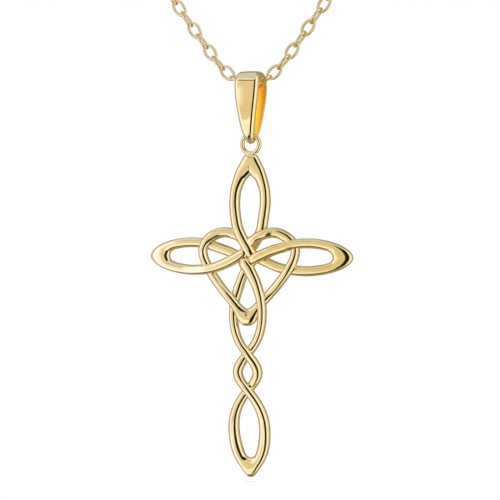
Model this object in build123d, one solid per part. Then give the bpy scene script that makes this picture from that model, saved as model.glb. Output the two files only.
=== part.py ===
from build123d import *
import math
import os

# Cross pendant necklace: a cross woven of four bands with a heart band woven through it, a ring soldered
# on its top, a folded bail and a chain round the neck. Lengths are millimetres and angles are degrees.
# The pendant's face looks along -Y, +Z is up and the origin is at the nape, where the chain is worn.

# Sizes of the cross, from the middle of its arms to its outer edges
top_reach = 10.25
arm_reach = 10.93
foot_reach = 22.18
top_leaf_half_width = 2.20
arm_leaf_half_height = 1.82
foot_leaf_half_width = 2.15
heart_half_width = 5.36
heart_foot_reach = 7.00

# Sizes of the bands that the cross and the heart are woven of
band_width = 0.96
band_depth = 0.92
band_edge_radius = 0.34
band_crown = 0.16
weave_lift = 0.25
leaf_tip_width = 2.00
leaf_tip_lean = 9.0
heart_tip_width = 1.75
heart_cleft_width = 1.30

# Sizes of the ring soldered on the cross
ring_middle_radius = 0.93
ring_wire_radius = 0.22
ring_solder_depth = 0.22

# Sizes of the bail, a domed strip folded over the chain and through the ring
bail_head_width = 2.60
bail_foot_width = 1.00
bail_side_bulge = 0.24
bail_wall = 0.38
bail_crown = 0.12
bail_outer_edge_radius = 0.24
bail_inner_edge_radius = 0.08
bail_head_radius = 1.00
bail_foot_radius = 0.50
bail_fold_distance = 4.89
bail_ring_clearance = 0.31

# Sizes of the chain and of the clasp that closes it at the nape
chain_width = 1.10
clasp_length = 8.0
clasp_width = 2.4
clasp_edge_radius = 0.45

# The chain's points round the right side of the neck, chosen by hand. They run from the front fold, where
# the bail hangs, to the last point before the clasp. Each has its place across, back from the front and up
# from the front fold, as shares of these three sizes. The left side is its mirror image.
neck_half_width = 59.0
front_depth = 105.0
front_drop = 101.6
chain_route = [
    (0.0331, 0.0000, 0.0000),
    (0.1144, 0.0000, 0.0576),
    (0.2576, 0.0010, 0.1693),
    (0.4508, 0.0057, 0.3406),
    (0.6322, 0.0229, 0.5266),
    (0.7831, 0.0686, 0.6880),
    (0.8966, 0.1590, 0.8031),
    (0.9661, 0.2819, 0.8691),
    (1.0000, 0.4190, 0.9055),
    (0.9864, 0.5667, 0.9301),
    (0.9153, 0.7143, 0.9518),
    (0.7797, 0.8429, 0.9715),
    (0.5847, 0.9333, 0.9872),
    (0.3729, 0.9829, 0.9961),
    (0.2000, 0.9981, 0.9995),
]

# Places worked out from the sizes, with heights from the middle of the cross
ring_outer_radius = ring_middle_radius + ring_wire_radius
ring_inner_radius = ring_middle_radius - ring_wire_radius
ring_height = top_reach - ring_solder_depth + ring_outer_radius
bail_foot_height = ring_height + ring_inner_radius - bail_ring_clearance + bail_foot_radius
bail_head_height = bail_foot_height + bail_fold_distance
cross_place = Vector(0, -front_depth, -front_drop - bail_head_height)

# Rows of the woven bands. Each gives its place across and along as shares of the sizes named beside it,
# its level, 1 where the band passes in front and -1 where it passes behind, its width in band widths and
# its skew, the degrees that its section is turned from square to the band's run.
# The upper leaf's left side, from its tip down: shares of top_leaf_half_width and top_reach.
upper_leaf_rows = [
    (-0.239, 0.862, 0.0, 2.06, -32.0),
    (-0.420, 0.808, 0.0, 1.80, -38.0),
    (-0.580, 0.734, 0.0, 1.45, -33.0),
    (-0.695, 0.656, 0.0, 1.23, -26.0),
    (-0.757, 0.566, 0.0, 1.10, -16.0),
    (-0.768, 0.478, 0.0, 1.04, -4.0),
    (-0.709, 0.371, 0.2, 1.02, 0.0),
    (-0.559, 0.260, 0.8, 1.00, 0.0),
]

# The same band through the middle to the right arm's underside: shares of arm_reach and
# arm_leaf_half_height.
right_arm_rows = [
    (-0.057, 0.824, 1.0, 1.00, 0.0),
    (0.000, 0.330, 1.0, 1.00, 0.0),
    (0.060, 0.000, -0.9, 1.00, 0.0),
    (0.124, -0.208, -1.0, 1.00, 0.0),
    (0.201, -0.412, -1.0, 1.00, 0.0),
    (0.292, -0.594, -1.0, 1.00, 0.0),
    (0.393, -0.700, -1.0, 1.00, 0.0),
    (0.480, -0.745, -0.5, 1.00, 0.0),
    (0.575, -0.758, -0.1, 0.96, 8.0),
    (0.671, -0.723, 0.0, 0.98, 20.0),
    (0.746, -0.648, 0.0, 1.04, 29.0),
    (0.806, -0.541, 0.0, 1.19, 36.0),
    (0.854, -0.398, 0.0, 1.44, 38.0),
    (0.891, -0.214, 0.0, 1.80, 33.0),
]

# The left arm's upper side, from its tip to the middle: shares of arm_reach and arm_leaf_half_height.
left_arm_rows = [
    (-0.891, 0.214, 0.0, 1.80, 33.0),
    (-0.854, 0.398, 0.0, 1.44, 38.0),
    (-0.806, 0.541, 0.0, 1.19, 36.0),
    (-0.746, 0.648, 0.0, 1.04, 29.0),
    (-0.671, 0.723, 0.0, 0.98, 20.0),
    (-0.575, 0.758, -0.2, 0.96, 8.0),
    (-0.448, 0.692, -1.0, 1.00, 0.0),
    (-0.339, 0.506, -1.0, 1.00, 0.0),
    (-0.238, 0.275, -1.0, 1.00, 0.0),
    (-0.146, 0.044, -1.0, 1.00, 0.0),
    (-0.069, -0.231, -1.0, 1.00, 0.0),
]

# The same band down to the foot: shares of foot_leaf_half_width and foot_reach.
foot_rows = [
    (0.000, -0.054, 1.0, 1.00, 0.0),
    (0.256, -0.095, 1.0, 1.00, 0.0),
    (0.489, -0.135, 1.0, 1.00, 0.0),
    (0.700, -0.189, 1.0, 0.98, 0.0),
    (0.751, -0.243, 0.6, 0.96, 0.0),
    (0.693, -0.306, 0.0, 0.96, 0.0),
    (0.521, -0.360, -0.6, 1.00, 0.0),
    (0.251, -0.405, -1.0, 1.00, 0.0),
    (-0.037, -0.439, -1.0, 1.00, 0.0),
    (-0.335, -0.477, -0.4, 1.00, 0.0),
    (-0.488, -0.516, 0.0, 0.96, 0.0),
    (-0.358, -0.554, 0.5, 1.00, 0.0),
    (0.000, -0.595, 1.0, 1.00, 0.0),
    (0.354, -0.640, 0.7, 1.00, 0.0),
    (0.638, -0.691, 0.0, 1.00, 0.0),
    (0.780, -0.752, 0.0, 1.00, 0.0),
    (0.765, -0.815, 0.0, 1.02, -5.0),
    (0.672, -0.862, 0.0, 1.08, -15.0),
    (0.540, -0.897, 0.0, 1.22, -27.0),
    (0.365, -0.927, 0.0, 1.50, -36.0),
    (0.195, -0.946, 0.0, 1.86, -32.0),
]

# The heart's left side, from its cleft to its foot: shares of heart_half_width and heart_foot_reach.
heart_rows = [
    (-0.162, 0.252, -1.0, 1.05, 0.0),
    (-0.333, 0.319, -1.0, 1.00, 0.0),
    (-0.523, 0.341, 0.0, 1.00, 0.0),
    (-0.732, 0.299, 0.8, 1.00, 0.0),
    (-0.875, 0.209, 1.0, 1.00, 0.0),
    (-0.935, 0.086, 0.5, 0.97, 0.0),
    (-0.916, -0.043, -0.5, 0.97, 0.0),
    (-0.827, -0.180, -1.0, 1.00, 0.0),
    (-0.656, -0.353, 0.0, 1.00, 0.0),
    (-0.418, -0.547, 1.0, 1.00, 0.0),
    (-0.209, -0.727, 0.5, 1.10, 16.0),
]
heart_cleft_share = 0.180

# How many lofted sections stand in each step from row to row of a band, how much closer together they
# stand at its two ends, and how many stand in the bail's half
sections_per_row = 1.1
tip_closeness = 0.35
bail_sections = 20

# How a band's end runs on into the band that it meets at a mirror plane: how far, how much it narrows and
# shifts on the way, as shares of that reach, and how much smaller its sides are than the other's flat end
mitre_reach = 0.30
mitre_narrowing = 1.30
mitre_shift = 0.35
mitre_trace = 0.012


def strip_outline(centre, across, outward, width, front, back, crown, radius, back_radius):
    """One closed section of a strip, flat at the back, domed in front and rounded at its four edges."""
    half = width / 2
    dome_radius = (half * half + crown * crown) / (2 * crown)
    dome_centre = front - dome_radius
    edge_across = half - radius
    edge_out = dome_centre + math.sqrt((dome_radius - radius) ** 2 - edge_across ** 2)
    reach = dome_radius / (dome_radius - radius)
    dome_end = (edge_across * reach, dome_centre + (edge_out - dome_centre) * reach)
    lean = math.atan2(dome_end[1] - edge_out, dome_end[0] - edge_across) / 2
    front_bend = (edge_across + radius * math.cos(lean), edge_out + radius * math.sin(lean))
    back_edge = half - back_radius
    back_bend = back_radius * (1 - math.sqrt(0.5))

    def at(u, v):
        return centre + across * u + outward * v

    return Wire([
        ThreePointArc(at(-dome_end[0], dome_end[1]), at(0, front), at(*dome_end)),
        ThreePointArc(at(*dome_end), at(*front_bend), at(half, edge_out)),
        Line(at(half, edge_out), at(half, back + back_radius)),
        ThreePointArc(at(half, back + back_radius), at(half - back_bend, back + back_bend), at(back_edge, back)),
        Line(at(back_edge, back), at(-back_edge, back)),
        ThreePointArc(at(-back_edge, back), at(back_bend - half, back + back_bend), at(-half, back + back_radius)),
        Line(at(-half, back + back_radius), at(-half, edge_out)),
        ThreePointArc(at(-half, edge_out), at(-front_bend[0], front_bend[1]), at(-dome_end[0], dome_end[1])),
    ])


def placed(rows, across_size, along_size):
    """Rows of shares turned into lengths."""
    return [(x * across_size, z * along_size, level, share * band_width, skew) for x, z, level, share, skew in rows]


def mirrored(rows):
    """The band on the other side of the cross, which passes behind where this one passes in front."""
    return [(-x, z, -level, width, -skew) for x, z, level, width, skew in rows]


def eased(places, values, place):
    """A value between the rows' values: a cubic that never passes them."""
    last = len(places) - 1
    row = min(max(sum(1 for p in places if p <= place) - 1, 0), last - 1)

    def rise(k):
        return (values[k + 1] - values[k]) / (places[k + 1] - places[k])

    def slope(k):
        if k == 0:
            return rise(0)
        if k == last:
            return rise(last - 1)
        before, after = rise(k - 1), rise(k)
        return 0.0 if before * after <= 0 else 2 * before * after / (before + after)

    step = places[row + 1] - places[row]
    t = (place - places[row]) / step
    return (values[row] * (1 + 2 * t) * (1 - t) ** 2 + slope(row) * step * t * (1 - t) ** 2
            + values[row + 1] * (3 - 2 * t) * t ** 2 - slope(row + 1) * step * (1 - t) * t ** 2)


def band_outline(centre, heading, width, depth, outer):
    """A band's section: square to its heading in the cross's plane, with its domed side to the front.

    A wide section, as at a leaf's tip, leans back on the leaf's outer side, which is 1 to the left of the
    heading, -1 to its right and 0 where the section stays upright.
    """
    lean = math.radians(leaf_tip_lean) * outer * max(width - band_width, 0) / (leaf_tip_width - band_width)
    left = Vector(-math.sin(heading), 0, math.cos(heading))
    front = Vector(0, -1, 0)
    across = left * math.cos(lean) - front * math.sin(lean)
    outward = front * math.cos(lean) + left * math.sin(lean)
    crown = band_crown * width / band_width
    return strip_outline(centre, across, outward, width, depth / 2, -depth / 2, crown,
                         band_edge_radius, band_edge_radius)


def band(rows, outer, first, last):
    """One band, lofted through even steps of a spline through its rows, from one mirror plane to another.

    Each end has its heading, the way its tip points and whether it runs on into the band that it meets.
    An end that runs on is a trace smaller than the other's flat end and narrows inside it.
    """
    points = [Vector(x, 0, z) for x, z, level, width, skew in rows]
    run = Spline(*points)
    places = [0.0]
    for before, after in zip(points, points[1:]):
        places.append(places[-1] + (after - before).length)
    steps = round((len(rows) - 1) * sections_per_row)
    outlines = []
    for step in range(steps + 1):
        even = step / steps
        share = even - tip_closeness * math.sin(2 * math.pi * even) / (2 * math.pi)
        place = share * places[-1]
        level, width, skew = [eased(places, [row[column] for row in rows], place) for column in (2, 3, 4)]
        middle = run @ share
        along = run % share
        heading = math.atan2(along.Z, along.X) + math.radians(skew)
        centre = Vector(middle.X, -level * weave_lift, middle.Z)
        if 0 < step < steps:
            outlines.append(band_outline(centre, heading, width, band_depth, outer))
            continue
        way = 1 if step else -1
        heading_degrees, tip_way, runs_on = last if step else first
        heading = math.radians(heading_degrees)
        trace = 2 * mitre_trace if runs_on else 0
        outlines.append(band_outline(centre, heading, width - trace, band_depth - trace, outer))
        if runs_on:
            ahead = Vector(math.cos(heading), 0, math.sin(heading)) * (way * mitre_reach)
            inward = Vector(-tip_way[0], 0, -tip_way[1]) * (mitre_shift * mitre_reach)
            beyond = band_outline(centre + ahead + inward, heading, width - mitre_narrowing * mitre_reach,
                                  band_depth - 2 * trace, outer)
            outlines.insert(0 if step == 0 else len(outlines), beyond)
    return Solid.make_loft(outlines)


def woven_bands():
    """The four bands of the cross and the heart's two halves."""
    half_tip = leaf_tip_width / 2
    top_tip = (0.0, top_reach - half_tip, 0.0, leaf_tip_width, -40.0)
    right_tip = (arm_reach - half_tip, 0.0, 0.0, leaf_tip_width, 40.0)
    left_tip = (half_tip - arm_reach, 0.0, 0.0, leaf_tip_width, 40.0)
    foot_tip = (0.0, half_tip - foot_reach, 0.0, leaf_tip_width, -40.0)
    cleft = (0.0, heart_cleft_share * heart_foot_reach, 0.0, heart_cleft_width, 30.0)
    heart_tip = (0.0, heart_tip_width / 2 - heart_foot_reach, 0.0, heart_tip_width, 45.0)

    upper_leaf = placed(upper_leaf_rows, top_leaf_half_width, top_reach)
    right_arm = placed(right_arm_rows, arm_reach, arm_leaf_half_height)
    left_arm = placed(left_arm_rows, arm_reach, arm_leaf_half_height)
    foot = placed(foot_rows, foot_leaf_half_width, foot_reach)
    heart = placed(heart_rows, heart_half_width, heart_foot_reach)

    top_to_arm = [top_tip, *upper_leaf, *right_arm, right_tip]
    arm_to_foot = [left_tip, *left_arm, *foot, foot_tip]
    half_heart = [cleft, *heart, heart_tip]
    return [
        band(top_to_arm, -1, (180, (0, 1), True), (90, (1, 0), True)),
        band(mirrored(top_to_arm), 1, (0, (0, 1), False), (90, (-1, 0), True)),
        band(arm_to_foot, 1, (90, (-1, 0), False), (180, (0, -1), True)),
        band(mirrored(arm_to_foot), -1, (90, (1, 0), False), (0, (0, -1), False)),
        band(half_heart, 0, (180, (0, -1), True), (0, (0, -1), True)),
        band(mirrored(half_heart), 0, (0, (0, -1), False), (180, (0, -1), False)),
    ]


def top_ring():
    """The ring soldered on the cross's upper tip, with its hole facing front and back."""
    ring = Torus(ring_middle_radius, ring_wire_radius)
    return Pos(0, 0, ring_height) * Rot(90, 0, 0) * ring


def cross_pendant():
    """Cross, heart and ring, cast and soldered as one solid, in the cross's own place."""
    cast, *rest = woven_bands()
    for piece in [*rest, top_ring()]:
        cast = cast.fuse(piece)
    return cast


def bail_width_at(height):
    """The strip's width at a height between its two folds, a little fuller than a straight taper."""
    share = min(max((height - bail_foot_height) / bail_fold_distance, 0), 1)
    straight = bail_foot_width + (bail_head_width - bail_foot_width) * share
    return straight + bail_side_bulge * 4 * share * (1 - share)


def bail_outline(inner_y, inner_z, turn):
    """The strip's section at a point of its inner face, whose outward side is turned from straight down."""
    angle = math.radians(turn)
    outward = Vector(0, -math.sin(angle), -math.cos(angle))
    width = bail_width_at(inner_z)
    crown = bail_crown * (width / bail_head_width) ** 2
    return strip_outline(Vector(0, inner_y, inner_z), Vector(1, 0, 0), outward, width,
                         bail_wall + crown, 0, crown, bail_outer_edge_radius, bail_inner_edge_radius)


def bail():
    """The folded strip: its front half is lofted round the two folds, and the back half mirrors it."""
    plate_turn = 90 - math.degrees(math.asin((bail_head_radius - bail_foot_radius) / bail_fold_distance))
    foot_run = math.radians(plate_turn) * bail_foot_radius
    head_run = math.radians(180 - plate_turn) * bail_head_radius
    plate_run = math.sqrt(bail_fold_distance ** 2 - (bail_head_radius - bail_foot_radius) ** 2)
    outlines = []
    for step in range(-1, bail_sections + 2):
        run = (foot_run + plate_run + head_run) * step / bail_sections
        radius, height = bail_foot_radius, bail_foot_height
        if run < foot_run:
            turn = math.degrees(run / bail_foot_radius)
        elif run < foot_run + plate_run:
            share = (run - foot_run) / plate_run
            turn = plate_turn
            radius += (bail_head_radius - bail_foot_radius) * share
            height += bail_fold_distance * share
        else:
            turn = plate_turn + math.degrees((run - foot_run - plate_run) / bail_head_radius)
            radius, height = bail_head_radius, bail_head_height
        angle = math.radians(turn)
        outlines.append(bail_outline(-radius * math.sin(angle), height - radius * math.cos(angle), turn))
    front_half = Solid.make_loft(outlines).split(Plane.XZ, keep=Keep.TOP)
    return front_half.fuse(front_half.mirror(Plane.XZ))


def chain():
    """The chain's outer form: one tube from the clasp's right end round the neck to its left end."""
    def at(across, back, up, side):
        return (side * across * neck_half_width, (back - 1) * front_depth, (up - 1) * front_drop)

    right = [at(*point, 1) for point in reversed(chain_route)]
    left = [at(*point, -1) for point in chain_route]
    points = [Vector(clasp_length / 2, 0, 0)] + [Vector(*p) for p in right + left] + [Vector(-clasp_length / 2, 0, 0)]
    radii = []
    for before, here, after in zip(points, points[1:], points[2:]):
        turn = math.radians((here - before).get_angle(after - here))
        shorter_run = min((here - before).length, (after - here).length)
        radii.append(0.45 * shorter_run / math.tan(turn / 2))
    path = FilletPolyline(*points, radius=radii)
    start = Plane(origin=path @ 0, z_dir=path % 0)
    tube = sweep(start * Circle(chain_width / 2), path=path)
    print("chain length with its clasp", round(path.length + clasp_length, 2))
    print("chain radii", [round(radius, 1) for radius in radii])
    print("chain volume", round(tube.volume, 2), "section times length",
          round(math.pi * chain_width ** 2 / 4 * path.length, 2))
    return tube


def clasp():
    """A plain barrel clasp along X at the nape, with a flat end for each end of the chain."""
    barrel = Rot(0, 90, 0) * Cylinder(clasp_width / 2, clasp_length)
    return fillet(barrel.edges().filter_by(GeomType.CIRCLE), clasp_edge_radius)


os.makedirs("parts", exist_ok=True)
place = Pos(cross_place.X, cross_place.Y, cross_place.Z)
pieces = {
    "cross_pendant": place * cross_pendant(),
    "bail": place * bail(),
    "chain": chain(),
    "clasp": clasp(),
}
for name, shape in pieces.items():
    export_step(shape, f"parts/{name}.step")
    print(name, "valid", shape.is_valid, "solids", len(shape.solids()), "volume", round(shape.volume, 3))
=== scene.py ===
import math

import bmesh
import bpy
import numpy as np
from mathutils import Matrix, Vector


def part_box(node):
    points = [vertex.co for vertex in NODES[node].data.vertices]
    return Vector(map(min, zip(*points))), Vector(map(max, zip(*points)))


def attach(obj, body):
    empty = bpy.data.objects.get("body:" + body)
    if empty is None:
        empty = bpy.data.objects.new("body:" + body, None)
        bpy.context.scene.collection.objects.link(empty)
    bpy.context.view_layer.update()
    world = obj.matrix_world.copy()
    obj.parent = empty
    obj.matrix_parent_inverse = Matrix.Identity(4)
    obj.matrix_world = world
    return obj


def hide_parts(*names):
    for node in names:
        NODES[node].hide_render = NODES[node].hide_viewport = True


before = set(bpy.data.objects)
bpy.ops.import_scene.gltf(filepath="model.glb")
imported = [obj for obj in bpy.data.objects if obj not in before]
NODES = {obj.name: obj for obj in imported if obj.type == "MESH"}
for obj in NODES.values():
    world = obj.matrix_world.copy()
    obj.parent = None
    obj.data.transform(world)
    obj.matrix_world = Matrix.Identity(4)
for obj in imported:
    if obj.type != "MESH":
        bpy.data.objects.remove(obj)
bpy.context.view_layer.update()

bl_info = {
    "name": "Cross Pendant Necklace",
    "version": (1, 0, 0),
    "blender": (4, 5, 0),
    "location": "View3D > Sidebar > Necklace",
    "description": "Dresses the cross pendant, its bail, chain and clasp in polished gold",
    "category": "Object",
}

# Points of a mesh that are closer than this are one point, in metres
WELD_REACH = 1e-7

# How far in front of the nape and how far below it the chain passes through the bail, in metres
FRONT_DEPTH = 0.105
FRONT_DROP = 0.1016
# The chain's points up its right side, from the bail to the clasp: how far across, how far back from the bail
# and how far up from it, in metres
CHAIN_ROUTE = [
    (0.0020, 0.0, 0.00025),
    (0.00645, 0.0, 0.0060),
    (0.0149, 0.0001, 0.0173),
    (0.0266, 0.0006, 0.0346),
    (0.0373, 0.0024, 0.0535),
    (0.0462, 0.0072, 0.0699),
    (0.0529, 0.0167, 0.0816),
    (0.0570, 0.0296, 0.0883),
    (0.0590, 0.0440, 0.0920),
    (0.0582, 0.0595, 0.0945),
    (0.0540, 0.0750, 0.0967),
    (0.0460, 0.0885, 0.0987),
    (0.0345, 0.0980, 0.1003),
    (0.0220, 0.1032, 0.1012),
    (0.0118, 0.1048, 0.10155),
    (0.0040, 0.1050, 0.1016),
]
# The share of a link's step that is left before the clasp's middle, and how far to each side of a link's
# middle the chain's direction is read, in metres
CLASP_SHARE = 0.35
DIRECTION_REACH = 0.0006

# Rows of the woven bands. Each gives its place across and along as shares of the sizes that its band
# names, its level, 1 in front and -1 behind, its width in band widths and its skew in degrees.
# The upper leaf's left side, from its tip down: shares of its half width and of the top reach.
UPPER_LEAF_ROWS = [
    (-0.239, 0.862, 0.0, 2.06, -32.0),
    (-0.420, 0.808, 0.0, 1.82, -38.0),
    (-0.580, 0.734, 0.0, 1.50, -33.0),
    (-0.695, 0.656, 0.0, 1.30, -26.0),
    (-0.752, 0.566, 0.0, 1.20, -16.0),
    (-0.745, 0.478, 0.1, 1.16, -4.0),
    (-0.660, 0.371, 0.5, 1.17, 0.0),
]
# An arm's underside, from the heart to its tip: shares of the arm reach and of the arm's half height.
LOWER_ARM_ROWS = [
    (0.393, -0.740, -1.0, 1.05, 0.0),
    (0.480, -0.786, -0.7, 1.06, 0.0),
    (0.575, -0.800, -0.3, 1.06, 8.0),
    (0.671, -0.750, 0.0, 1.13, 20.0),
    (0.746, -0.670, 0.0, 1.22, 29.0),
    (0.806, -0.570, 0.0, 1.36, 36.0),
    (0.854, -0.440, 0.0, 1.60, 36.0),
    (0.889, -0.256, 0.0, 2.06, 32.0),
]
# An arm's upper side, from its tip to the heart: shares of the arm reach and of the arm's half height.
UPPER_ARM_ROWS = [
    (-0.889, 0.176, 0.0, 2.06, 32.0),
    (-0.854, 0.361, 0.0, 1.60, 36.0),
    (-0.806, 0.500, 0.0, 1.34, 36.0),
    (-0.746, 0.602, 0.0, 1.20, 29.0),
    (-0.671, 0.682, -0.1, 1.10, 20.0),
    (-0.575, 0.716, -0.4, 1.04, 8.0),
    (-0.448, 0.655, -0.8, 1.04, 0.0),
    (-0.339, 0.480, -1.0, 1.06, 0.0),
]
# The four bands' ways through the middle of the cross: shares of the arm reach both ways.
LEAF_TO_RIGHT_ARM = [
    (-0.105, 0.249, 0.9, 1.18, 0.0),
    (-0.068, 0.174, 1.0, 1.17, 0.0),
    (-0.023, 0.101, 1.0, 1.16, 0.0),
    (0.010, 0.053, 1.0, 1.15, 0.0),
    (0.042, 0.014, 0.5, 1.12, 0.0),
    (0.082, -0.016, -0.7, 1.10, 0.0),
    (0.135, -0.041, -1.0, 1.05, 0.0),
    (0.206, -0.072, -1.0, 1.02, 0.0),
    (0.292, -0.104, -1.0, 1.03, 0.0),
]
LEAF_TO_LEFT_ARM = [
    (0.111, 0.236, -0.8, 1.14, 0.0),
    (0.072, 0.158, -1.0, 1.10, 0.0),
    (0.030, 0.088, -0.9, 1.05, 0.0),
    (0.000, 0.058, 0.0, 1.06, 0.0),
    (-0.032, 0.032, 1.0, 1.08, 0.0),
    (-0.094, -0.006, 1.0, 1.14, 0.0),
    (-0.179, -0.049, 1.0, 1.14, 0.0),
    (-0.270, -0.088, 1.0, 1.10, 0.0),
]
LEFT_ARM_TO_FOOT = [
    (-0.214, 0.040, -1.0, 1.05, 0.0),
    (-0.134, 0.006, -1.0, 1.06, 0.0),
    (-0.076, -0.026, -0.4, 1.12, 0.0),
    (-0.038, -0.058, 0.9, 1.27, 0.0),
    (-0.008, -0.092, 1.0, 1.22, 0.0),
    (0.020, -0.130, 1.0, 1.26, 0.0),
    (0.048, -0.176, 1.0, 1.22, 0.0),
    (0.079, -0.231, 1.0, 1.16, 0.0),
]
RIGHT_ARM_TO_FOOT = [
    (0.255, 0.056, 1.0, 1.12, 0.0),
    (0.170, 0.022, 1.0, 1.15, 0.0),
    (0.100, -0.008, 1.0, 1.17, 0.0),
    (0.055, -0.032, 0.9, 1.15, 0.0),
    (0.010, -0.066, -0.3, 1.24, 0.0),
    (-0.025, -0.106, -1.0, 1.10, 0.0),
    (-0.054, -0.160, -1.0, 1.00, 0.0),
    (-0.082, -0.226, -1.0, 1.00, 0.0),
]
# The right half of the twist below the heart, down to the foot: shares of the foot's half width and of the
# foot reach.
FOOT_ROWS = [
    (0.545, -0.147, 1.0, 1.08, 0.0),
    (0.690, -0.193, 1.0, 1.02, 0.0),
    (0.751, -0.243, 0.6, 0.96, 0.0),
    (0.693, -0.306, 0.0, 0.94, 0.0),
    (0.521, -0.360, -0.6, 0.94, 0.0),
    (0.251, -0.405, -1.0, 0.92, 0.0),
    (-0.037, -0.439, -1.0, 0.94, 0.0),
    (-0.330, -0.479, -0.4, 1.02, 0.0),
    (-0.500, -0.523, 0.0, 1.06, 0.0),
    (-0.350, -0.561, 0.5, 1.00, 0.0),
    (0.000, -0.600, 1.0, 0.94, 0.0),
    (0.350, -0.644, 0.7, 0.98, 0.0),
    (0.620, -0.693, 0.3, 1.06, 0.0),
    (0.765, -0.752, 0.0, 1.16, 0.0),
    (0.765, -0.815, 0.0, 1.24, -5.0),
    (0.680, -0.862, 0.0, 1.32, -15.0),
    (0.545, -0.897, 0.0, 1.42, -27.0),
    (0.365, -0.927, 0.0, 1.50, -36.0),
    (0.195, -0.946, 0.0, 1.86, -32.0),
]
# The heart's left side, from its cleft to its foot: shares of its half width and of its foot's reach.
HEART_ROWS = [
    (-0.162, 0.252, -0.6, 1.08, 0.0),
    (-0.333, 0.313, -0.6, 1.06, 0.0),
    (-0.523, 0.334, -0.1, 1.08, 0.0),
    (-0.728, 0.282, 0.4, 1.12, 0.0),
    (-0.868, 0.196, 0.6, 1.02, 0.0),
    (-0.935, 0.086, 0.3, 0.97, 0.0),
    (-0.916, -0.043, -0.3, 0.97, 0.0),
    (-0.827, -0.180, -0.6, 1.00, 0.0),
    (-0.656, -0.353, 0.0, 1.00, 0.0),
    (-0.418, -0.547, 0.8, 1.00, 0.0),
    (-0.209, -0.727, 0.5, 1.10, 16.0),
]

# The bail's outer line round its front half, from its top to its foot: how far forward, how high above
# the middle of its head and how wide the strip is there, in metres
BAIL_ROWS = [
    (0.00085, 0.00124, 0.00258),
    (0.00128, 0.00072, 0.00262),
    (0.00145, 0.00000, 0.00260),
    (0.00148, -0.00100, 0.00245),
    (0.00145, -0.00200, 0.00219),
    (0.00135, -0.00300, 0.00190),
    (0.00118, -0.00400, 0.00158),
    (0.00088, -0.00490, 0.00124),
    (0.00046, -0.00555, 0.00096),
]
BAIL_TOP = (0.0, 0.00149, 0.00254)
BAIL_FOOT = (0.0, -0.00579, 0.00088)

# The polish: where its worn clouds begin and are full, the share of the warm colour that they bring, how far
# from the middle of the pendant the painted side light, paler to the left and deeper to the right, is full,
# the share of the deep colour that this painted light brings, and the strength of the fine grain
CLOUD_START = 0.38
CLOUD_FULL = 0.66
CLOUD_SHARE = 0.3
PAINTED_SIDE_LIGHT_REACH = 0.011
PAINTED_SIDE_LIGHT_SHARE = 0.7
GRAIN_STRENGTH = 0.25

# The studio's light and the panels in it. Each panel gives its colour, then the turns between which it stands,
# the heights between which it stands and the half widths of its soft edges, across and up, in degrees.
BASE_LIGHT = (0.50, 0.48, 0.47, 1)
PANELS = [
    ((0.36, 0.32, 0.25, 1), (124, 179, -70, 70, 16, 14)),
    ((0.34, 0.31, 0.28, 1), (-179, -120, -70, 70, 14, 14)),
    ((0.68, 0.74, 0.85, 1), (-150, 60, 48, 89, 12, 7)),
    ((1.20, 1.18, 1.66, 1), (-66, -6, -46, 46, 7, 7)),
    ((1.02, 1.05, 1.05, 1), (-38, -6, -46, -18, 5, 2)),
    ((0.80, 0.73, 0.58, 1), (-38, -6, -15, 35, 5, 1.5)),
    ((1.15, 1.15, 1.50, 1), (-48, -29, -3, 9, 5, 6)),
    ((0.80, 0.76, 0.62, 1), (70, 116, -60, 66, 10, 10)),
    ((1.12, 1.14, 1.35, 1), (38, 86, -60, 66, 7, 10)),
    ((0.012, 0.012, 0.012, 1), (-4, 32, -48, 44, 4, 5)),
    ((0.012, 0.012, 0.012, 1), (-46, -3, 32.5, 38.5, 8, 0.8)),
    ((0.012, 0.012, 0.012, 1), (-90, 12, -62, -49, 10, 3)),
    ((0.30, 0.22, 0.06, 1), (-100, 40, -89, -63, 12, 3)),
]


def length(name, description, default):
    """A property that holds a length."""
    return bpy.props.FloatProperty(name=name, description=description, default=default, unit="LENGTH", precision=5)


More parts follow.
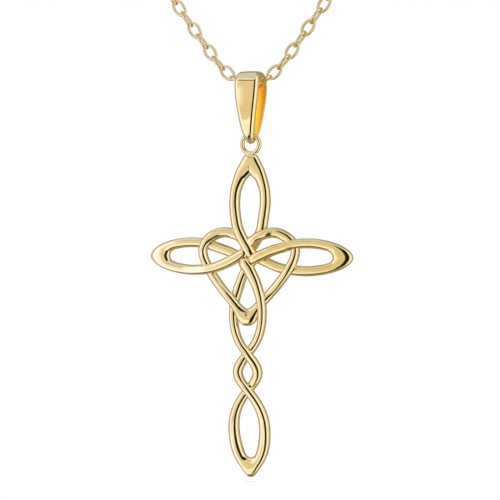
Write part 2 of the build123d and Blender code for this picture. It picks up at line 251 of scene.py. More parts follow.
class CrossSizes(bpy.types.PropertyGroup):
    top_reach: length("Top Reach", "From the middle of the cross to its upper tip", 0.01025)
    arm_reach: length("Arm Reach", "From the middle of the cross to an arm's tip", 0.01104)
    foot_reach: length("Foot Reach", "From the middle of the cross to its foot", 0.02218)
    top_leaf_half_width: length("Upper Leaf", "Half of the upper leaf's width", 0.00220)
    arm_leaf_half_height: length("Arm Leaf", "Half of an arm's height", 0.00182)
    foot_leaf_half_width: length("Foot Leaf", "Half of the foot's width", 0.00215)
    heart_half_width: length("Heart", "Half of the heart's width", 0.00536)
    heart_foot_reach: length("Heart Foot", "From the middle of the cross to the heart's foot", 0.00700)
    heart_forward: length("Heart Forward", "How far the heart stands forward of the cross", 0.00010)
    heart_cleft_reach: length("Heart Cleft", "From the middle of the cross up to the heart's cleft", 0.00126)
    band_width: length("Band Width", "Width of the woven bands", 0.00096)
    band_depth: length("Band Depth", "Depth of the woven bands from front to back", 0.00092)
    weave_lift: length("Weave Lift", "How far a band moves to pass over or under", 0.00025)
    bow: length("Bow", "How far the middle of the cross stands forward of its four tips", 0.00079)
    bow_height: length("Bow Height", "Height of the bow's peak from the middle of the cross", -0.010)
    bow_foot_share: bpy.props.FloatProperty(
        name="Bow's Foot", description="Share of the way from its peak to the foot over which the bow falls away",
        default=0.94, min=0.1, max=1)
    bow_power: bpy.props.FloatProperty(
        name="Bow Power", description="Power of the bow's fall", default=1.5, min=1, max=3)
    arm_drop: length("Arm Drop", "How far the arms' tips are below the middle of the cross", 0.00008)
    leaf_tip_width: length("Leaf Tip", "Width of the gold at a leaf's tip", 0.00200)
    arm_tip_width: length("Arm Tip", "Width of the gold at an arm's tip", 0.00212)
    heart_tip_width: length("Heart Tip", "Width of the gold at the heart's foot", 0.00175)
    heart_cleft_width: length("Cleft Width", "Width of the gold at the heart's cleft", 0.00130)
    roundness: bpy.props.FloatProperty(
        name="Roundness", description="Power of the bands' rounded section, 2 for an oval", default=2.2, min=2, max=4)
    tip_roundness: bpy.props.FloatProperty(
        name="Tip Roundness", description="Power of the section at the tips", default=2.6, min=2, max=4)
    tip_lean: bpy.props.FloatProperty(
        name="Tip Lean", description="How far a leaf's tip leans toward the inside of its leaf",
        default=math.radians(-3.0), subtype="ANGLE")
    dish: bpy.props.FloatProperty(
        name="Dish", description="How far the bands lean toward the inside of their leaves", default=math.radians(4.0),
        subtype="ANGLE")
    ring_radius: length("Ring Radius", "Radius to the middle of the soldered ring's wire", 0.00093)
    ring_wire: length("Ring Wire", "Thickness of the soldered ring's wire", 0.00044)


class BailSizes(bpy.types.PropertyGroup):
    wall: length("Wall", "Thickness of the bail's strip", 0.00050)
    crown: length("Crown", "How far the strip's middle stands out from its sides", 0.00003)
    outer_edge: length("Outer Edge", "Radius of the strip's outer edges", 0.00042)
    inner_edge: length("Inner Edge", "Radius of the strip's inner edges", 0.00008)
    # Below this height the bail's inside is satin and carries the painted glow and painted shade
    satin_and_glow_drop: length("Satin Drop", "How far below the middle of the bail's head its inside turns satin", 0.0003)


class ChainSizes(bpy.types.PropertyGroup):
    link_length: length("Link Length", "Outer length of one oval link", 0.00204)
    link_width: length("Link Width", "Outer width of one oval link", 0.00132)
    wire: length("Wire", "Thickness of the links' wire", 0.00030)
    play: length("Play", "Gap between two links where they hook", 0.00002)
    turn_steps: bpy.props.IntProperty(
        name="Steps Round a Link", description="Sections of wire round one link", default=16, min=8)
    wire_sides: bpy.props.IntProperty(
        name="Sides of the Wire", description="Sides of the links' wire", default=6, min=4)


class GoldFinish(bpy.types.PropertyGroup):
    colour: bpy.props.FloatVectorProperty(
        name="Gold", description="Colour of the polished gold", subtype="COLOR", size=4, min=0, max=1,
        default=(1.0, 0.84, 0.49, 1.0))
    # Deep gold: the warmer tone in the worn clouds, and also the deeper, shaded side of the painted side light toward
    # the right
    deep_colour: bpy.props.FloatVectorProperty(
        name="Deep Gold", description="Colour of the gold where it is a little warmer", subtype="COLOR", size=4, min=0,
        max=1, default=(0.91, 0.73, 0.29, 1.0))
    roughness: bpy.props.FloatProperty(
        name="Roughness", description="Roughness of the polished faces", default=0.06, min=0, max=1)
    # The bail's inside: a painted glow and painted reflected light in place of the light between its walls, and
    # painted shade toward its right edge
    painted_glow_colour: bpy.props.FloatVectorProperty(
        name="Inner Gold", description="Colour of gold that only other gold lights", subtype="COLOR", size=4, min=0,
        max=1, default=(1.0, 0.74, 0.10, 1.0))
    painted_shade_colour: bpy.props.FloatVectorProperty(
        name="Inner Edge", description="Colour of the same gold where it turns to its edge", subtype="COLOR", size=4,
        min=0, max=1, default=(0.84, 0.38, 0.03, 1.0))
    painted_shade_start: length("Inner Edge Start", "How far right of the middle the inner gold begins to turn", 0.0001)
    painted_shade_full: length("Inner Edge Full", "How far right of the middle it has the edge's colour", 0.0012)
    inner_roughness: bpy.props.FloatProperty(
        name="Inner Roughness", description="Roughness of the satin inside", default=0.4, min=0, max=1)
    painted_glow_strength: bpy.props.FloatProperty(
        name="Inner Glow", description="How much light the bail's walls pass between them", default=0.28, min=0, max=2)
    haze: bpy.props.FloatProperty(
        name="Haze", description="How much rougher the gold is where it has been handled", default=0.04, min=0, max=1)


class StageLook(bpy.types.PropertyGroup):
    azimuth: bpy.props.FloatProperty(
        name="Camera Azimuth", description="Camera's turn round the pendant from its face", default=math.radians(24.0),
        subtype="ANGLE")
    elevation: bpy.props.FloatProperty(
        name="Camera Elevation", description="Camera's height above the horizon", default=math.radians(1.35),
        subtype="ANGLE")
    frame_width: bpy.props.FloatProperty(
        name="Frame Width", description="Width of the view at the pendant", default=0.050, unit="LENGTH", precision=4)
    lens: bpy.props.FloatProperty(
        name="Lens", description="Focal length of the camera", default=200.0, unit="CAMERA")
    middle_height: bpy.props.FloatProperty(
        name="Middle of View", description="Height of the middle of the view", default=-0.11797, unit="LENGTH",
        precision=5)
    middle_across: length("Middle of View Across", "How far right of the cross the middle of the view is", -0.00008)
    floor_gap: length("Floor Gap", "Gap between the cross's foot and the floor", 0.0005)
    floor_colour: bpy.props.FloatVectorProperty(
        name="Floor Colour", description="Colour of the floor", subtype="COLOR", size=4, min=0, max=1,
        default=(0.92, 0.92, 0.92, 1.0))
    floor_glow: bpy.props.FloatProperty(
        name="Floor Glow", description="How much the paper under the cross glows", default=0.25, min=0, max=2)
    floor_clear: length("Clear Floor", "How far from the cross's foot the floor is plain white light", 0.014)
    floor_radius: length("Floor Radius", "Radius of the floor", 1.5)
    lamp_size: length("Lamp Size", "Width of the round lamp overhead", 0.5)
    lamp_power: bpy.props.FloatProperty(
        name="Lamp Power", description="Power of the lamp overhead", default=3.0, min=0, unit="POWER")
    lamp_place: bpy.props.FloatVectorProperty(
        name="Lamp Place", description="Where the lamp hangs", default=(0.05, -0.20, 0.45), subtype="TRANSLATION")


def cleared_material(name):
    """A new material with an empty node tree."""
    material = bpy.data.materials.new(name)
    material.use_nodes = True
    material.node_tree.nodes.clear()
    return material


def feed(links, socket, value):
    """Links a socket to another node's output, or else sets it to a value."""
    if isinstance(value, bpy.types.NodeSocket):
        links.new(value, socket)
    else:
        socket.default_value = value


def calculated(nodes, links, operation, *values):
    """The result of one sum, product or the like of numbers and other nodes' outputs."""
    node = nodes.new("ShaderNodeMath")
    node.operation = operation
    for socket, value in zip(node.inputs, values):
        feed(links, socket, value)
    return node.outputs["Value"]


def soft_step(nodes, links, value, low, high, top=1.0):
    """A number that rises softly from 0 to its top while a value goes from low to high."""
    node = nodes.new("ShaderNodeMapRange")
    node.interpolation_type = "SMOOTHSTEP"
    links.new(value, node.inputs["Value"])
    node.inputs["From Min"].default_value = low
    node.inputs["From Max"].default_value = high
    node.inputs["To Max"].default_value = top
    return node.outputs["Result"]


def mixed_colour(nodes, links, share, first, second):
    """A colour between two others."""
    node = nodes.new("ShaderNodeMix")
    node.data_type = "RGBA"
    feed(links, node.inputs[0], share)
    feed(links, node.inputs[6], first)
    feed(links, node.inputs[7], second)
    return node.outputs[2]


def handled_polish_and_side_light_group():
    """The shared effect of polish that wear has dulled in soft clouds, with a painted side light that makes the gold
    paler to the left and deeper to the right: a colour, a roughness and a height.
    """
    group = bpy.data.node_groups.new("Handled Polish and Painted Side Light", "ShaderNodeTree")
    sockets = group.interface
    for name, kind in (("Bright", "NodeSocketColor"), ("Warm", "NodeSocketColor"), ("Roughness", "NodeSocketFloat"),
                       ("Haze", "NodeSocketFloat"), ("Cloud Scale", "NodeSocketFloat"),
                       ("Grain Scale", "NodeSocketFloat")):
        sockets.new_socket(name=name, in_out="INPUT", socket_type=kind)
    for name, kind in (("Colour", "NodeSocketColor"), ("Roughness", "NodeSocketFloat"), ("Height", "NodeSocketFloat")):
        sockets.new_socket(name=name, in_out="OUTPUT", socket_type=kind)
    nodes, links = group.nodes, group.links
    start, end = nodes.new("NodeGroupInput"), nodes.new("NodeGroupOutput")
    place = nodes.new("ShaderNodeTexCoord")
    clouds = nodes.new("ShaderNodeTexNoise")
    clouds.inputs["Detail"].default_value = 3.0
    grain = nodes.new("ShaderNodeTexNoise")
    grain.inputs["Detail"].default_value = 2.0
    links.new(place.outputs["Object"], clouds.inputs["Vector"])
    links.new(place.outputs["Object"], grain.inputs["Vector"])
    links.new(start.outputs["Cloud Scale"], clouds.inputs["Scale"])
    links.new(start.outputs["Grain Scale"], grain.inputs["Scale"])
    cloud = soft_step(nodes, links, clouds.outputs["Fac"], CLOUD_START, CLOUD_FULL)
    # Painted side light: across the pendant the gold goes from the bright colour on the left toward the deep colour on
    # the right
    parts = nodes.new("ShaderNodeSeparateXYZ")
    links.new(place.outputs["Object"], parts.inputs["Vector"])
    across = soft_step(nodes, links, parts.outputs["X"], -PAINTED_SIDE_LIGHT_REACH, PAINTED_SIDE_LIGHT_REACH, PAINTED_SIDE_LIGHT_SHARE)
    # The deep colour's share: the worn clouds' real tone plus the painted side light
    wear_and_side_light_share = calculated(nodes, links, "MULTIPLY_ADD", cloud, CLOUD_SHARE, across)
    tone = mixed_colour(nodes, links, wear_and_side_light_share, start.outputs["Bright"], start.outputs["Warm"])
    dulled = calculated(nodes, links, "MULTIPLY_ADD", cloud, start.outputs["Haze"], start.outputs["Roughness"])
    links.new(tone, end.inputs["Colour"])
    links.new(dulled, end.inputs["Roughness"])
    links.new(grain.outputs["Fac"], end.inputs["Height"])
    return group


def polished_gold(name, cloud_scale, grain_scale, grain_height, roughness_share=1.0):
    """Polished yellow gold, with the shared polish effect in its colour, roughness and bump; its colour also carries a
    painted side light, paler to the left and deeper to the right.
    """
    finish = bpy.context.scene.gold_finish
    group = bpy.data.node_groups.get("Handled Polish and Painted Side Light") or handled_polish_and_side_light_group()
    material = cleared_material(name)
    nodes, links = material.node_tree.nodes, material.node_tree.links
    out = nodes.new("ShaderNodeOutputMaterial")
    shader = nodes.new("ShaderNodeBsdfPrincipled")
    shader.inputs["Metallic"].default_value = 1.0
    shader.inputs["IOR"].default_value = 1.5
    polish = nodes.new("ShaderNodeGroup")
    polish.node_tree = group
    polish.inputs["Bright"].default_value = finish.colour
    polish.inputs["Warm"].default_value = finish.deep_colour
    polish.inputs["Roughness"].default_value = finish.roughness * roughness_share
    polish.inputs["Haze"].default_value = finish.haze * roughness_share
    polish.inputs["Cloud Scale"].default_value = cloud_scale
    polish.inputs["Grain Scale"].default_value = grain_scale
    bump = nodes.new("ShaderNodeBump")
    bump.inputs["Strength"].default_value = GRAIN_STRENGTH
    bump.inputs["Distance"].default_value = grain_height
    links.new(polish.outputs["Height"], bump.inputs["Height"])
    links.new(polish.outputs["Colour"], shader.inputs["Base Color"])
    links.new(polish.outputs["Roughness"], shader.inputs["Roughness"])
    links.new(bump.outputs["Normal"], shader.inputs["Normal"])
    links.new(shader.outputs["BSDF"], out.inputs["Surface"])
    return material


def glowing_inner_gold(name):
    """Satin gold inside a fold, with a painted glow and a painted orange reflection standing in for the light that
    passes between its walls, and painted shade that deepens it toward its right edge.
    """
    finish = bpy.context.scene.gold_finish
    material = cleared_material(name)
    nodes, links = material.node_tree.nodes, material.node_tree.links
    out = nodes.new("ShaderNodeOutputMaterial")
    shader = nodes.new("ShaderNodeBsdfPrincipled")
    shader.inputs["Metallic"].default_value = 1.0
    shader.inputs["Roughness"].default_value = finish.inner_roughness
    # Painted glow: the inside gives off its own light
    shader.inputs["Emission Strength"].default_value = finish.painted_glow_strength
    place = nodes.new("ShaderNodeTexCoord")
    parts = nodes.new("ShaderNodeSeparateXYZ")
    links.new(place.outputs["Object"], parts.inputs["Vector"])
    # Painted shade: the gold deepens toward the right of the bail's middle
    turned = soft_step(nodes, links, parts.outputs["X"], finish.painted_shade_start, finish.painted_shade_full)
    tone = mixed_colour(nodes, links, turned, finish.painted_glow_colour, finish.painted_shade_colour)
    links.new(tone, shader.inputs["Base Color"])
    links.new(tone, shader.inputs["Emission Color"])
    links.new(shader.outputs["BSDF"], out.inputs["Surface"])
    return material


def dress(node, material):
    """Gives a CAD node one material."""
    piece = NODES[node]
    piece.data.materials.clear()
    piece.data.materials.append(material)
    return piece


def finished_object(bm, name, material):
    """A smooth shaded object made from a bmesh, at the origin."""
    mesh = bpy.data.meshes.new(name)
    bm.to_mesh(mesh)
    bm.free()
    mesh.polygons.foreach_set("use_smooth", [True] * len(mesh.polygons))
    mesh.materials.append(material)
    piece = bpy.data.objects.new(name, mesh)
    bpy.context.scene.collection.objects.link(piece)
    return piece


def smooth_loop(places, values, whole, wanted):
    """A closed run of numbers, as a cubic spline through its values, read at the wanted places."""
    count = len(values)
    steps = np.diff(np.append(places, whole))
    rises = (np.roll(values, -1) - values) / steps
    system = np.zeros((count, count))
    for k in range(count):
        system[k, k - 1] = steps[k - 1]
        system[k, k] = 2 * (steps[k - 1] + steps[k])
        system[k, (k + 1) % count] = steps[k]
    bends = np.linalg.solve(system, 6 * (rises - np.roll(rises, 1)))
    row = np.searchsorted(places, wanted, side="right") - 1
    after = (row + 1) % count
    step, into = steps[row], wanted - places[row]
    left = step - into
    return (bends[row] * left ** 3 + bends[after] * into ** 3) / (6 * step) + (
        values[row] / step - bends[row] * step / 6) * left + (values[after] / step - bends[after] * step / 6) * into


def eased_loop(places, values, whole, wanted):
    """A closed run of numbers that never passes its values, read at the wanted places."""
    steps = np.diff(np.append(places, whole))
    rises = (np.roll(values, -1) - values) / steps
    before = np.roll(rises, 1)
    turned = before * rises <= 0
    slopes = np.where(turned, 0.0, 2 * before * rises / np.where(turned, 1.0, before + rises))
    row = np.searchsorted(places, wanted, side="right") - 1
    after = (row + 1) % len(values)
    t = (wanted - places[row]) / steps[row]
    return (values[row] * (1 + 2 * t) * (1 - t) ** 2 + slopes[row] * steps[row] * t * (1 - t) ** 2
            + values[after] * (3 - 2 * t) * t ** 2 - slopes[after] * steps[row] * (1 - t) * t ** 2)


def placed(rows, across_size, along_size, band_width):
    """Rows of shares turned into lengths."""
    return [(x * across_size, z * along_size, level, share * band_width, skew) for x, z, level, share, skew in rows]


def mirrored(rows):
    """The band on the other side of the cross, which passes behind where this one passes in front."""
    return [(-x, z, -level, width, -skew) for x, z, level, width, skew in rows]


def wrapped_grid(rows, sides, shaped):
    """A tube with a closed run and a closed section as a bmesh, with each point placed by its row and side."""
    bm = bmesh.new()
    bmesh.ops.create_grid(bm, x_segments=rows, y_segments=sides, size=0.5)
    for vert in bm.verts:
        vert.co = shaped(round((vert.co.x + 0.5) * rows) % rows, round((vert.co.y + 0.5) * sides) % sides)
    bmesh.ops.remove_doubles(bm, verts=bm.verts, dist=WELD_REACH)
    bmesh.ops.recalc_face_normals(bm, faces=bm.faces)
    return bm


def loop_run(rows, spacing):
    """The places of a closed run's rows along it, its whole length and evenly spaced places."""
    ends = np.roll(rows, -1, axis=0)
    steps = np.hypot(ends[:, 0] - rows[:, 0], ends[:, 1] - rows[:, 1])
    whole = steps.sum()
    count = round(whole / spacing)
    return np.concatenate(([0.0], np.cumsum(steps)[:-1])), whole, np.arange(count) * whole / count


def woven_band(rows, middle, sizes, spacing=0.00013, sides=28):
    """A closed band of gold round its rows as a bmesh, with a round-edged section that widens at the tips."""
    rows = np.array(rows)
    places, whole, wanted = loop_run(rows, spacing)
    x, z = (smooth_loop(places, rows[:, k], whole, wanted) for k in (0, 1))
    level, width, skew = (eased_loop(places, rows[:, k], whole, wanted) for k in (2, 3, 4))
    heading = np.arctan2(np.roll(z, -1) - np.roll(z, 1), np.roll(x, -1) - np.roll(x, 1)) + np.radians(skew)
    # The bow falls away toward the upper tip, the foot and the arms' tips
    rise = z - sizes.bow_height
    reach = np.where(rise > 0, sizes.top_reach - sizes.bow_height,
                     sizes.bow_foot_share * (sizes.foot_reach + sizes.bow_height))
    bowed = np.maximum(1 - (rise / reach) ** 2, 0) ** sizes.bow_power * (1 - (x / sizes.arm_reach) ** 2)
    forward = level * sizes.weave_lift + sizes.bow * bowed
    # Where a band widens to a tip, its section is fuller and leans less
    wide = np.clip((width - sizes.band_width) / (sizes.leaf_tip_width - sizes.band_width), 0, 1)
    power = sizes.roundness + (sizes.tip_roundness - sizes.roundness) * wide
    lean = sizes.dish + (sizes.tip_lean - sizes.dish) * wide

    def shaped(k, side):
        angle = 2 * math.pi * side / sides
        out = (abs(math.cos(angle)) ** power[k] + abs(math.sin(angle)) ** power[k]) ** (-1 / power[k]) / 2
        left = Vector((-math.sin(heading[k]), 0, math.cos(heading[k])))
        front = Vector((0, -1, 0))
        across = left * math.cos(lean[k]) - front * math.sin(lean[k])
        outward = front * math.cos(lean[k]) + left * math.sin(lean[k])
        return (middle + Vector((x[k], -forward[k], z[k])) + across * (out * math.cos(angle) * width[k])
                + outward * (out * math.sin(angle) * sizes.band_depth))

    return wrapped_grid(len(wanted), sides, shaped)


def strip_section(sizes, face_steps=8, edge_steps=6):
    """The bail strip's section: shares of its half width, offsets across and heights off its outer face."""
    points = []
    for k in range(face_steps + 1):
        share = 1 - 2 * k / face_steps
        points.append((share, -share * sizes.outer_edge, -sizes.crown * share ** 2))
    for side in (-1, 1):
        corner = []
        for k in range(1, edge_steps + 1):
            angle = math.pi / 2 * k / edge_steps
            corner.append((side, side * sizes.outer_edge * (math.sin(angle) - 1),
                           sizes.outer_edge * (math.cos(angle) - 1) - sizes.crown))
        for k in range(3):
            angle = math.pi / 4 * k
            corner.append((side, side * sizes.inner_edge * (math.cos(angle) - 1),
                           sizes.inner_edge * (1 - math.sin(angle)) - sizes.wall - sizes.crown))
        if side < 0:
            points += corner
            points += [(share, -share * sizes.inner_edge, -sizes.wall - sizes.crown) for share in (-0.5, 0.0, 0.5)]
        else:
            points += corner[::-1]
    return points


def folded_bail(sizes, middle, spacing=0.00012):
    """The bail as a bmesh: a strip folded into a closed loop, with its inner faces marked as a second slot, the slot
    of the painted glow and painted shade.
    """
    back = [(-out, up, width) for out, up, width in reversed(BAIL_ROWS)]
    rows = np.array([BAIL_TOP] + BAIL_ROWS + [BAIL_FOOT] + back)
    places, whole, wanted = loop_run(rows, spacing)
    out, up, width = (smooth_loop(places, rows[:, k], whole, wanted) for k in (0, 1, 2))
    run_out, run_up = (np.roll(v, -1) - np.roll(v, 1) for v in (out, up))
    size = np.hypot(run_out, run_up)
    face_out, face_up = -run_up / size, run_out / size
    section = strip_section(sizes)

    def shaped(k, side):
        share, offset, height = section[side]
        return middle + Vector((share * width[k] / 2 + offset, -out[k] - face_out[k] * height,
                                up[k] + face_up[k] * height))

    bm = wrapped_grid(len(wanted), len(section), shaped)
    # The lower inner faces take the second slot: satin gold with the painted glow and painted shade
    for face in bm.faces:
        centre = face.calc_center_median()
        low = centre.z < middle.z - sizes.satin_and_glow_drop
        inner = abs(face.normal.x) < 0.5 and face.normal.y * (middle.y - centre.y) > 0
        if low and inner:
            face.material_index = 1
    return bm


def route_points():
    """The chain's smooth line as points: down its left side from the clasp, through the bail and up its right side."""
    curve = bpy.data.curves.new("chain route", "CURVE")
    curve.dimensions = "3D"
    curve.resolution_u = 24
    spline = curve.splines.new("NURBS")
    left = [(-x, y, z) for x, y, z in reversed(CHAIN_ROUTE)]
    points = left + CHAIN_ROUTE
    spline.points.add(len(points) - 1)
    for point, (x, back, up) in zip(spline.points, points):
        point.co = (x, back - FRONT_DEPTH, up - FRONT_DROP, 1.0)
    spline.order_u = 3
    spline.use_endpoint_u = True
    holder = bpy.data.objects.new("chain route", curve)
    mesh = bpy.data.meshes.new_from_object(holder)
    line = [v.co.copy() for v in mesh.vertices]
    bpy.data.objects.remove(holder)
    bpy.data.meshes.remove(mesh)
    bpy.data.curves.remove(curve)
    return line


def link_places(pitch):
    """Each link's count from the bail, its middle, the way that it runs and the side that it faces."""
    line = route_points()
    runs = [0.0]
    for before, after in zip(line, line[1:]):
        runs.append(runs[-1] + (after - before).length)
    whole = runs[-1]
    half_count = math.floor(whole / 2 / pitch)
    step = whole / 2 / (half_count + CLASP_SHARE)

    def at(run):
        k = next((i for i in range(1, len(runs)) if runs[i] >= run), len(runs) - 1)
        share = (run - runs[k - 1]) / (runs[k] - runs[k - 1])
        return line[k - 1].lerp(line[k], share)

    places = []
    for way in (1, -1):
        side = Vector((0, -1, 0))
        last_along = Vector((way, 0, 0))
        for k in range(0 if way > 0 else 1, half_count + 1):
            run = whole / 2 + way * k * step
            middle = at(run)
            ahead, behind = at(min(run + DIRECTION_REACH, whole)), at(max(run - DIRECTION_REACH, 0))
            along = (ahead - behind).normalized() * way
            side = (last_along.rotation_difference(along) @ side).normalized()
            side = (side - along * side.dot(along)).normalized()
            last_along = along
            places.append((k, middle, along, side))
    return places


def wire_ring(reach, wire, sides, steps):
    """A ring of round wire as a bmesh: it lies in XY, and its reach is the radius to the wire's middle."""
    bm = bmesh.new()
    bmesh.ops.create_circle(bm, cap_ends=False, radius=wire / 2, segments=sides,
                            matrix=Matrix.Translation((reach, 0, 0)) @ Matrix.Rotation(math.pi / 2, 4, "X"))
    bmesh.ops.spin(bm, geom=list(bm.verts) + list(bm.edges), cent=(0, 0, 0), axis=(0, 0, 1), angle=2 * math.pi,
                   steps=steps, use_merge=True, use_duplicate=False)
    bmesh.ops.remove_doubles(bm, verts=bm.verts, dist=WELD_REACH)
    bmesh.ops.recalc_face_normals(bm, faces=bm.faces)
    return bm


def oval_link(sizes):
    """One oval link of round wire as a bmesh: it lies in XY, its length along X."""
    bm = wire_ring((sizes.link_width - sizes.wire) / 2, sizes.wire, sizes.wire_sides, sizes.turn_steps)
    stretch = (sizes.link_length - sizes.link_width) / 2
    for vert in bm.verts:
        vert.co.x += stretch * vert.co.x / vert.co.xy.length
    return bm


class NECKLACE_OT_pendant(bpy.types.Operator):
    """Weaves the cross and its heart and adds the ring, in polished gold"""
    bl_idname = "necklace.pendant"
    bl_label = "Weave the Pendant"

    def execute(self, context):
        sizes = context.scene.cross_sizes
        low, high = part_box("cross_pendant")
        middle = Vector((0, (low.y + high.y) / 2, low.z + sizes.foot_reach))
        gold = polished_gold("Pendant Gold", cloud_scale=260.0, grain_scale=5200.0, grain_height=0.000004)
        band, half_tip, half_arm_tip = sizes.band_width, sizes.leaf_tip_width / 2, sizes.arm_tip_width / 2
        upper_leaf = placed(UPPER_LEAF_ROWS, sizes.top_leaf_half_width, sizes.top_reach, band)
        lower_arm = placed(LOWER_ARM_ROWS, sizes.arm_reach, sizes.arm_leaf_half_height, band)
        upper_arm = placed(UPPER_ARM_ROWS, sizes.arm_reach, sizes.arm_leaf_half_height, band)
        foot = placed(FOOT_ROWS, sizes.foot_leaf_half_width, sizes.foot_reach, band)
        leaf_to_right, leaf_to_left, left_to_foot, right_to_foot = (
            placed(rows, sizes.arm_reach, sizes.arm_reach, band)
            for rows in (LEAF_TO_RIGHT_ARM, LEAF_TO_LEFT_ARM, LEFT_ARM_TO_FOOT, RIGHT_ARM_TO_FOOT))

        def tip(x, z, width):
            return [(x, z, 0.0, width, 0.0)]

        cross = (tip(0, sizes.top_reach - half_tip, sizes.leaf_tip_width) + upper_leaf + leaf_to_right + lower_arm
                 + tip(sizes.arm_reach - half_arm_tip, -sizes.arm_drop, sizes.arm_tip_width)
                 + mirrored(upper_arm) + right_to_foot
                 + mirrored(foot) + tip(0, half_tip - sizes.foot_reach, sizes.leaf_tip_width)
                 + (upper_arm + left_to_foot + foot)[::-1]
                 + tip(half_arm_tip - sizes.arm_reach, -sizes.arm_drop, sizes.arm_tip_width)
                 + (mirrored(upper_leaf) + leaf_to_left + mirrored(lower_arm))[::-1])
        woven = finished_object(woven_band(cross, middle, sizes), "woven_cross", gold)
        half_heart = placed(HEART_ROWS, sizes.heart_half_width, sizes.heart_foot_reach, band)
        heart = (tip(0, sizes.heart_cleft_reach, sizes.heart_cleft_width) + half_heart
                 + tip(0, sizes.heart_tip_width / 2 - sizes.heart_foot_reach, sizes.heart_tip_width)
                 + mirrored(half_heart)[::-1])
        heart_middle = middle - Vector((0, sizes.heart_forward, 0))
        heart_band = finished_object(woven_band(heart, heart_middle, sizes), "woven_heart", gold)
        bm = wire_ring(sizes.ring_radius, sizes.ring_wire, sides=20, steps=64)
        ring_middle = Vector((0, middle.y, high.z - sizes.ring_radius - sizes.ring_wire / 2))
        bmesh.ops.transform(bm, verts=bm.verts,
                            matrix=Matrix.Translation(ring_middle) @ Matrix.Rotation(math.pi / 2, 4, "X"))
        ring = finished_object(bm, "top_ring", gold)
        for piece in (woven, heart_band, ring):
            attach(piece, "pendant")
            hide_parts("cross_pendant")
        return {"FINISHED"}


class NECKLACE_OT_bail(bpy.types.Operator):
    """Folds the bail's strip, polished outside and satin inside, with a painted glow and painted shade inside"""
    bl_idname = "necklace.bail"
    bl_label = "Fold the Bail"

    def execute(self, context):
        polished = polished_gold("Bail Gold", cloud_scale=320.0, grain_scale=4800.0, grain_height=0.000001,
                                 roughness_share=0.8)
        head_middle = Vector((0, -FRONT_DEPTH, -FRONT_DROP))
        bail = finished_object(folded_bail(context.scene.bail_sizes, head_middle), "folded_bail", polished)
        bail.data.materials.append(glowing_inner_gold("Bail Inside Painted Glow"))
        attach(bail, "bail")
        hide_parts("bail")
        return {"FINISHED"}


class NECKLACE_OT_chain(bpy.types.Operator):
    """Makes the chain of interlocking oval links along its route round the neck"""
    bl_idname = "necklace.chain"
    bl_label = "Make the Chain"

    def execute(self, context):
        sizes = context.scene.chain_sizes
        pitch = sizes.link_length - 2 * sizes.wire - sizes.play
        link = oval_link(sizes)
        pattern = bpy.data.meshes.new("link")
        link.to_mesh(pattern)
        link.free()
        bm = bmesh.new()
        for k, middle, along, side in link_places(pitch):
            flat = side if k % 2 == 0 else along.cross(side)
            across = flat.cross(along)
            place = Matrix((along, across, flat)).transposed().to_4x4()
            place.translation = middle
            first = len(bm.verts)
            bm.from_mesh(pattern)
            bm.verts.ensure_lookup_table()
            bmesh.ops.transform(bm, matrix=place, verts=bm.verts[first:])
        bpy.data.meshes.remove(pattern)
        gold = polished_gold("Chain Gold", cloud_scale=900.0, grain_scale=6000.0, grain_height=0.000002,
                             roughness_share=1.2)
        chain = finished_object(bm, "chain_links", gold)
        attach(chain, "chain_loop")
        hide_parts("chain")
        return {"FINISHED"}


class NECKLACE_OT_clasp(bpy.types.Operator):
    """Gives the clasp at the nape its polished gold"""
    bl_idname = "necklace.clasp"
    bl_label = "Finish the Clasp"

    def execute(self, context):
        gold = polished_gold("Clasp Gold", cloud_scale=380.0, grain_scale=4800.0, grain_height=0.000004)
        dress("clasp", gold)
        return {"FINISHED"}


def studio_world(scene):
    """White light all round with soft dark and bright panels that only the gold sees."""
    world = bpy.data.worlds.new("Studio")
    scene.world = world
    world.use_nodes = True
    nodes, links = world.node_tree.nodes, world.node_tree.links
    nodes.clear()
    place = nodes.new("ShaderNodeTexCoord")
    split = nodes.new("ShaderNodeSeparateXYZ")
    links.new(place.outputs["Generated"], split.inputs["Vector"])

    def calc(operation, *values):
        return calculated(nodes, links, operation, *values)

    turn = calc("MULTIPLY", calc("ARCTAN2", split.outputs["X"], calc("MULTIPLY", split.outputs["Y"], -1.0)),
                180 / math.pi)
    rise = calc("MULTIPLY", calc("ARCSINE", split.outputs["Z"]), 180 / math.pi)

    def stretch(value, low, high, soft):
        above_low = soft_step(nodes, links, value, low - soft, low + soft)
        above_high = soft_step(nodes, links, value, high - soft, high + soft)
        return calc("MULTIPLY", above_low, calc("SUBTRACT", 1.0, above_high))

    base = nodes.new("ShaderNodeRGB")
    base.outputs[0].default_value = BASE_LIGHT
    colour = base.outputs[0]
    for light, (low_turn, high_turn, low_rise, high_rise, soft_turn, soft_rise) in PANELS:
        share = calc("MULTIPLY", stretch(turn, low_turn, high_turn, soft_turn),
                     stretch(rise, low_rise, high_rise, soft_rise))
        colour = mixed_colour(nodes, links, share, colour, light)
    studio = nodes.new("ShaderNodeBackground")
    links.new(colour, studio.inputs["Color"])
    white = nodes.new("ShaderNodeBackground")
    white.inputs["Color"].default_value = (1, 1, 1, 1)
    rays = nodes.new("ShaderNodeLightPath")
    pick = nodes.new("ShaderNodeMixShader")
    links.new(rays.outputs["Is Camera Ray"], pick.inputs["Fac"])
    links.new(studio.outputs["Background"], pick.inputs[1])
    links.new(white.outputs["Background"], pick.inputs[2])
    out = nodes.new("ShaderNodeOutputWorld")
    links.new(pick.outputs["Shader"], out.inputs["Surface"])


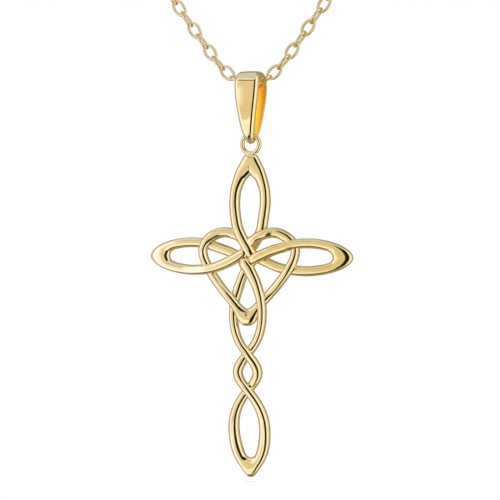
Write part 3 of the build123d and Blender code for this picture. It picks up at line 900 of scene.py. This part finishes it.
def lit_paper(look):
    """White paper that glows evenly, and plainly white away from the cross's foot."""
    paper = cleared_material("White Paper")
    nodes, links = paper.node_tree.nodes, paper.node_tree.links
    out = nodes.new("ShaderNodeOutputMaterial")
    shader = nodes.new("ShaderNodeBsdfPrincipled")
    shader.inputs["Base Color"].default_value = look.floor_colour
    shader.inputs["Roughness"].default_value = 0.9
    shader.inputs["Specular IOR Level"].default_value = 0.1
    shader.inputs["Emission Color"].default_value = (1, 1, 1, 1)
    shader.inputs["Emission Strength"].default_value = look.floor_glow
    place = nodes.new("ShaderNodeTexCoord")
    reach = nodes.new("ShaderNodeVectorMath")
    reach.operation = "DISTANCE"
    reach.inputs[1].default_value = (0, -FRONT_DEPTH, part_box("cross_pendant")[0].z)
    links.new(place.outputs["Object"], reach.inputs[0])
    fade = soft_step(nodes, links, reach.outputs["Value"], look.floor_clear / 3, look.floor_clear)
    light = nodes.new("ShaderNodeEmission")
    light.inputs["Color"].default_value = (1, 1, 1, 1)
    mix = nodes.new("ShaderNodeMixShader")
    links.new(fade, mix.inputs["Fac"])
    links.new(shader.outputs["BSDF"], mix.inputs[1])
    links.new(light.outputs["Emission"], mix.inputs[2])
    links.new(mix.outputs["Shader"], out.inputs["Surface"])
    return paper


class NECKLACE_OT_stage(bpy.types.Operator):
    """Sets the floor, the studio light and the camera"""
    bl_idname = "necklace.stage"
    bl_label = "Set the Stage"

    def execute(self, context):
        scene = context.scene
        look = scene.stage_look
        studio_world(scene)
        floor_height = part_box("cross_pendant")[0].z - look.floor_gap
        bm = bmesh.new()
        bmesh.ops.create_circle(bm, cap_ends=True, segments=96, radius=look.floor_radius,
                                matrix=Matrix.Translation((0, 0, floor_height)))
        floor = finished_object(bm, "floor", lit_paper(look))
        floor.visible_glossy = False

        lamp = bpy.data.lights.new("overhead", "AREA")
        lamp.shape = "DISK"
        lamp.size = look.lamp_size
        lamp.energy = look.lamp_power
        overhead = bpy.data.objects.new("overhead", lamp)
        overhead.location = look.lamp_place
        overhead.visible_glossy = False
        scene.collection.objects.link(overhead)

        camera = bpy.data.cameras.new("camera")
        camera.lens = look.lens
        camera.sensor_width = 36.0
        camera.dof.use_dof = False
        holder = bpy.data.objects.new("camera", camera)
        scene.collection.objects.link(holder)
        back = Vector((math.sin(look.azimuth) * math.cos(look.elevation),
                       -math.cos(look.azimuth) * math.cos(look.elevation), math.sin(look.elevation)))
        right = Vector((math.cos(look.azimuth), math.sin(look.azimuth), 0))
        middle = Vector((0, -FRONT_DEPTH, look.middle_height)) + right * look.middle_across
        holder.location = middle + back * (look.frame_width * look.lens / camera.sensor_width)
        holder.rotation_mode = "QUATERNION"
        holder.rotation_quaternion = (-back).to_track_quat("-Z", "Y")
        camera.clip_start = 0.01
        camera.clip_end = 20.0
        scene.camera = holder
        scene.view_settings.view_transform = "Standard"
        return {"FINISHED"}


class NECKLACE_PT_panel(bpy.types.Panel):
    """Lists the necklace's sizes, finishes and steps"""
    bl_idname = "NECKLACE_PT_panel"
    bl_label = "Necklace"
    bl_space_type = "VIEW_3D"
    bl_region_type = "UI"
    bl_category = "Necklace"

    def draw(self, context):
        scene = context.scene
        for place, group in GROUPS.items():
            box = self.layout.box()
            for name in group.__annotations__:
                box.prop(getattr(scene, place), name)
        for operator in OPERATORS:
            self.layout.operator(operator.bl_idname)


GROUPS = {
    "cross_sizes": CrossSizes,
    "bail_sizes": BailSizes,
    "chain_sizes": ChainSizes,
    "gold_finish": GoldFinish,
    "stage_look": StageLook,
}
OPERATORS = (NECKLACE_OT_stage, NECKLACE_OT_pendant, NECKLACE_OT_bail, NECKLACE_OT_chain, NECKLACE_OT_clasp)


def register():
    for name, group in GROUPS.items():
        bpy.utils.register_class(group)
        setattr(bpy.types.Scene, name, bpy.props.PointerProperty(type=group))
    for operator in OPERATORS:
        bpy.utils.register_class(operator)
    bpy.utils.register_class(NECKLACE_PT_panel)


def unregister():
    bpy.utils.unregister_class(NECKLACE_PT_panel)
    for operator in reversed(OPERATORS):
        bpy.utils.unregister_class(operator)
    for name, group in GROUPS.items():
        delattr(bpy.types.Scene, name)
        bpy.utils.unregister_class(group)


def main():
    register()
    bpy.ops.necklace.stage()
    bpy.ops.necklace.pendant()
    bpy.ops.necklace.bail()
    bpy.ops.necklace.chain()
    bpy.ops.necklace.clasp()
    bpy.context.view_layer.update()


if __name__ == "__main__":
    main()
